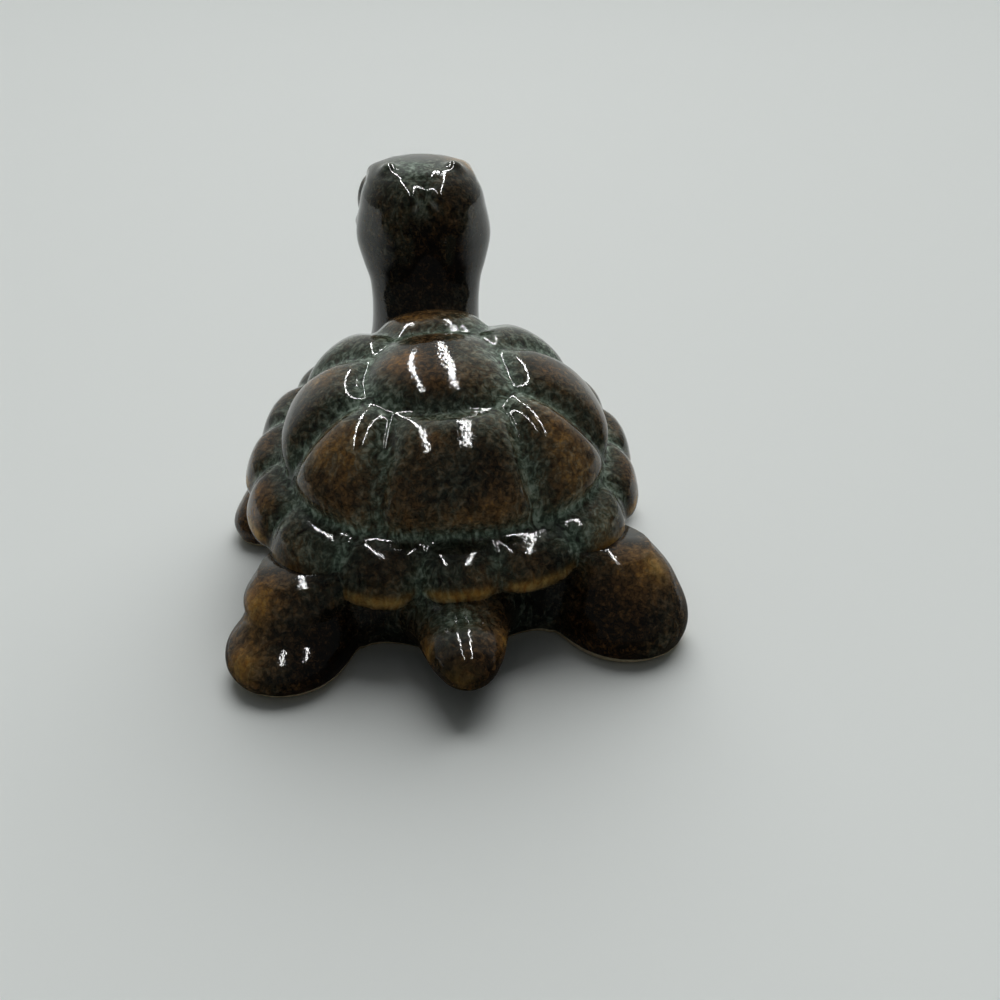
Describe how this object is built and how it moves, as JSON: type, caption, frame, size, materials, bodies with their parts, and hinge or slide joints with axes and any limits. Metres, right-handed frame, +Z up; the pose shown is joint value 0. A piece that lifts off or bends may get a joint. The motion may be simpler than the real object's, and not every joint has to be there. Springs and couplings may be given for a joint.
{
  "type": "turtle figurine",
  "caption": "Hollow glazed ceramic turtle ornament with a domed plated shell, flared rim, stub legs, short tail and raised head, standing on a flat unglazed foot.",
  "frame": {"origin": "on the table, midway between the tail's tip and the snout and between the feet", "axes": "+Z up, the head looks along -Y, +X to the turtle's left"},
  "size_m": [0.1106, 0.1437, 0.0886],
  "materials": {
    "glaze": "gloss",
    "bisque": "matte"
  },
  "bodies": {
    "root": {"carapace": "glaze", "underbody": "glaze", "base_slab": "bisque", "head_and_neck": "glaze", "front_left_leg": "glaze", "front_right_leg": "glaze", "rear_left_leg": "glaze", "rear_right_leg": "glaze", "tail": "glaze"}
  },
  "joints": []
}
